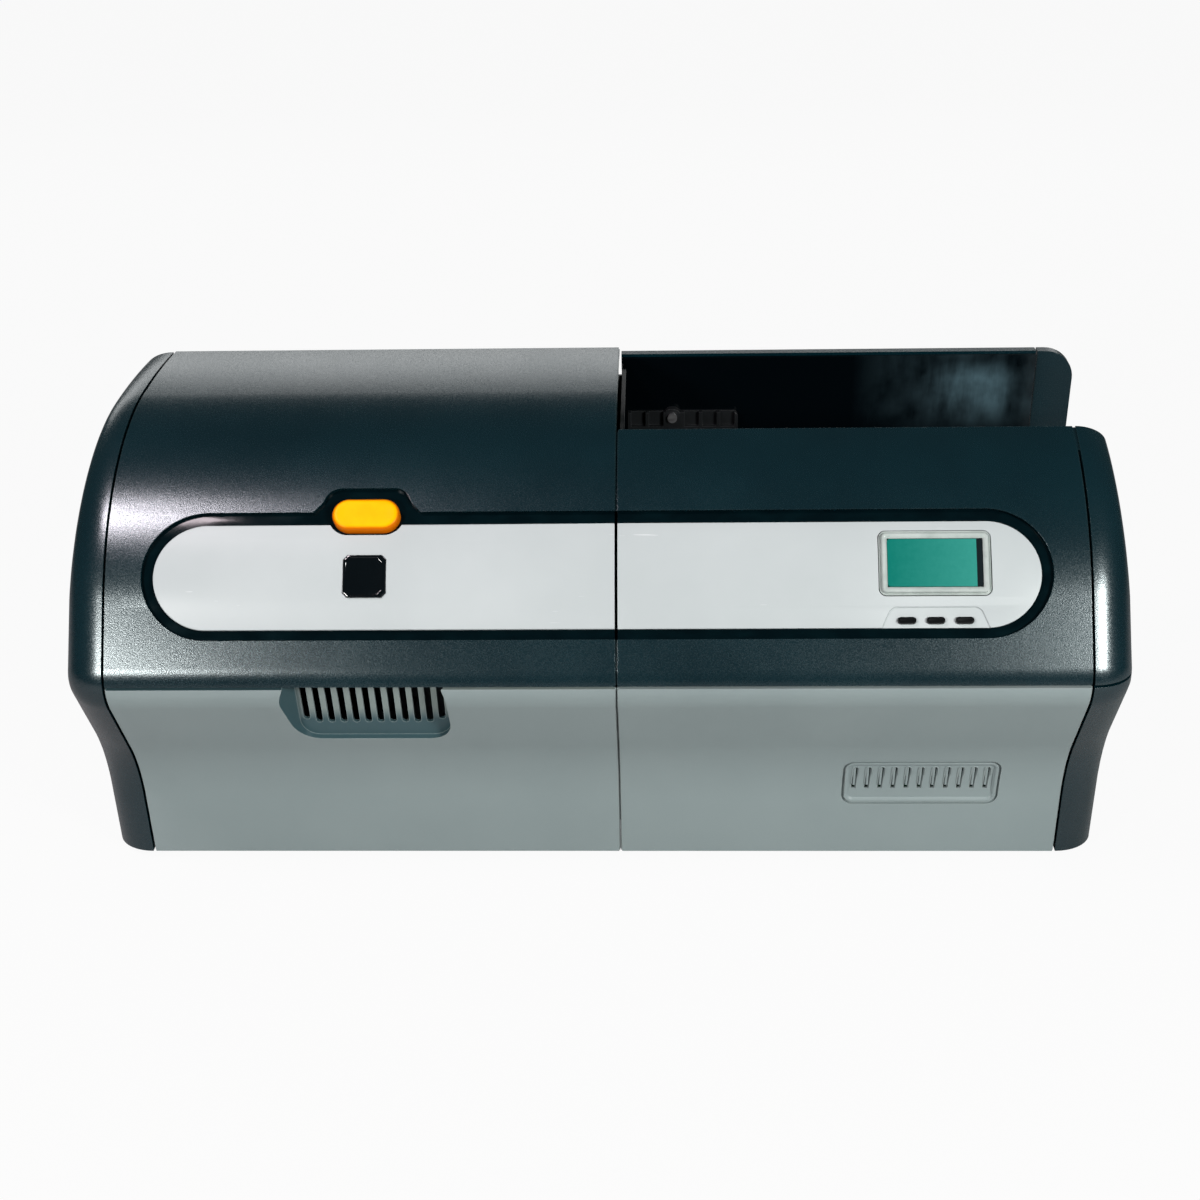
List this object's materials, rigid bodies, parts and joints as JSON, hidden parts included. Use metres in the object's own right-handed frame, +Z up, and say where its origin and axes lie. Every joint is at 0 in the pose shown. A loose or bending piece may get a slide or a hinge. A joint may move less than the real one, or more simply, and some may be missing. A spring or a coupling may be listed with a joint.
{
  "type": "id card printer",
  "caption": "Desktop printer for plastic identity cards: hinged dark print cover with a sprung latch button on the left, display with keys and an open card well on the right.",
  "frame": {"origin": "on the table under the middle of the body's width and depth", "axes": "+X to the right as seen from the front, +Y to the back, +Z up"},
  "size_m": [0.711, 0.277, 0.306],
  "materials": {
    "dark_plastic": "fine textured satin",
    "gloss_black": "gloss",
    "grey_plastic": "satin",
    "white_band": "gloss",
    "steel": "brushed",
    "rubber": "matte",
    "amber_plastic": "gloss",
    "clear_bezel": "satin",
    "display_glass": "clear",
    "display_green": "lit from behind",
    "circuit_board": "solder mask",
    "black_plastic": "fine textured",
    "natural_nylon": "matte",
    "ribbon_film": "gloss film",
    "amber_rubber": "tacky",
    "aluminium": "machined",
    "green_plastic": "satin"
  },
  "bodies": {
    "chassis": {"base_pan": "steel", "feet": "rubber", "left_side_cover": "dark_plastic", "right_side_cover": "dark_plastic", "right_upper_side_cover": "dark_plastic", "right_fascia": "dark_plastic", "left_front_panel": "grey_plastic", "right_front_panel": "grey_plastic", "rear_panel": "dark_plastic", "well_liner": "gloss_black", "card_guide": "black_plastic", "catch_tray": "black_plastic", "right_groove_trim": "gloss_black", "right_band": "white_band", "display_bezel": "clear_bezel", "display_window": "display_glass", "display_module": "display_green", "display_board": "circuit_board", "power_inlet": "black_plastic", "usb_port": "steel", "network_port": "steel", "hinge_brackets": "steel", "hinge_pins": "steel", "power_supply": "steel", "main_board": "circuit_board", "fan_frame": "black_plastic", "front_frame_plate": "steel", "rear_frame_plate": "steel", "tie_rods": "steel", "card_magazine": "black_plastic", "drive_motor": "black_plastic", "drive_belt": "rubber", "latch_keeper": "steel", "screws": "steel"},
    "cover": {"print_cover": "dark_plastic", "left_groove_trim": "gloss_black", "left_band": "white_band", "badge": "gloss_black"},
    "button": {"latch_button": "amber_plastic"},
    "hook": {"latch_hook": "steel"},
    "left_key": {"left_key": "black_plastic"},
    "middle_key": {"middle_key": "black_plastic"},
    "right_key": {"right_key": "black_plastic"},
    "rocker": {"power_rocker": "black_plastic"},
    "fan": {"fan_rotor": "black_plastic"},
    "supply_spool": {"supply_spindle": "natural_nylon", "supply_roll": "ribbon_film"},
    "takeup_spool": {"takeup_spindle": "natural_nylon", "takeup_roll": "ribbon_film"},
    "platen": {"platen_roller": "rubber", "platen_gear": "natural_nylon"},
    "pinion": {"motor_pinion": "natural_nylon"},
    "pick": {"pick_roller": "rubber"},
    "feed": {"feed_roller": "rubber"},
    "exit": {"exit_roller": "rubber"},
    "cleaner": {"cleaning_roller": "amber_rubber"},
    "head": {"head_carriage": "steel", "printhead": "aluminium", "head_lever": "green_plastic"},
    "weight": {"card_weight": "steel"}
  },
  "joints": [
    {"name": "cover_hinge", "type": "hinge", "parent": "chassis", "child": "cover", "pos_m": [0, 0.129, 0.288], "axis": [-1, 0, 0], "range_deg": [0, 75]},
    {"name": "latch_press", "type": "slide", "parent": "cover", "child": "button", "axis": [0, 0.6296, -0.7769], "range_m": [0, 0.003], "stiffness_N_per_m": 500, "springref_m": -0.004},
    {"name": "hook_turn", "type": "hinge", "parent": "cover", "child": "hook", "pos_m": [-0.1518, -0.07691, 0.23308], "axis": [-1, 0, 0], "range_deg": [0, 9]},
    {"name": "left_key_press", "type": "slide", "parent": "chassis", "child": "left_key", "axis": [0, 0.778, -0.6283], "range_m": [0, 0.0008], "stiffness_N_per_m": 300, "springref_m": -0.001},
    {"name": "middle_key_press", "type": "slide", "parent": "chassis", "child": "middle_key", "axis": [0, 0.778, -0.6283], "range_m": [0, 0.0008], "stiffness_N_per_m": 300, "springref_m": -0.001},
    {"name": "right_key_press", "type": "slide", "parent": "chassis", "child": "right_key", "axis": [0, 0.778, -0.6283], "range_m": [0, 0.0008], "stiffness_N_per_m": 300, "springref_m": -0.001},
    {"name": "rocker_turn", "type": "hinge", "parent": "chassis", "child": "rocker", "pos_m": [-0.222, 0.1319, 0.04], "axis": [-1, 0, 0], "range_deg": [0, 20]},
    {"name": "fan_turn", "type": "hinge", "parent": "chassis", "child": "fan", "pos_m": [0.13, 0.12, 0.09], "axis": [0, 1, 0], "continuous": true},
    {"name": "supply_turn", "type": "hinge", "parent": "chassis", "child": "supply_spool", "pos_m": [-0.186, 0.084, 0.238], "axis": [0, 1, 0], "continuous": true},
    {"name": "takeup_turn", "type": "hinge", "parent": "chassis", "child": "takeup_spool", "pos_m": [-0.052, 0.084, 0.238], "axis": [0, 1, 0], "continuous": true},
    {"name": "platen_turn", "type": "hinge", "parent": "chassis", "child": "platen", "pos_m": [-0.115, 0.084, 0.181], "axis": [0, 1, 0], "continuous": true},
    {"name": "pinion_turn", "type": "hinge", "parent": "chassis", "child": "pinion", "pos_m": [-0.115, 0.084, 0.149], "axis": [0, 1, 0], "continuous": true},
    {"name": "pick_turn", "type": "hinge", "parent": "chassis", "child": "pick", "pos_m": [-0.255, 0.084, 0.181], "axis": [0, 1, 0], "continuous": true},
    {"name": "feed_turn", "type": "hinge", "parent": "chassis", "child": "feed", "pos_m": [-0.18, 0.084, 0.181], "axis": [0, 1, 0], "continuous": true},
    {"name": "exit_turn", "type": "hinge", "parent": "chassis", "child": "exit", "pos_m": [-0.03, 0.084, 0.181], "axis": [0, 1, 0], "continuous": true},
    {"name": "cleaner_turn", "type": "hinge", "parent": "chassis", "child": "cleaner", "pos_m": [-0.208, 0.084, 0.1971], "axis": [0, 1, 0], "continuous": true},
    {"name": "head_lift", "type": "hinge", "parent": "chassis", "child": "head", "pos_m": [-0.15, 0.084, 0.215], "axis": [0, -1, 0], "range_deg": [0, 30]},
    {"name": "weight_slide", "type": "slide", "parent": "chassis", "child": "weight", "axis": [0, 0, 1], "range_m": [0, 0.06]}
  ],
  "couplings": [
    {"joint": "hook_turn", "follows": "latch_press", "rad_per_m": 46},
    {"joint": "pinion_turn", "follows": "platen_turn", "ratio": -3},
    {"joint": "pick_turn", "follows": "platen_turn", "ratio": 1},
    {"joint": "feed_turn", "follows": "platen_turn", "ratio": 1},
    {"joint": "exit_turn", "follows": "platen_turn", "ratio": 1}
  ]
}
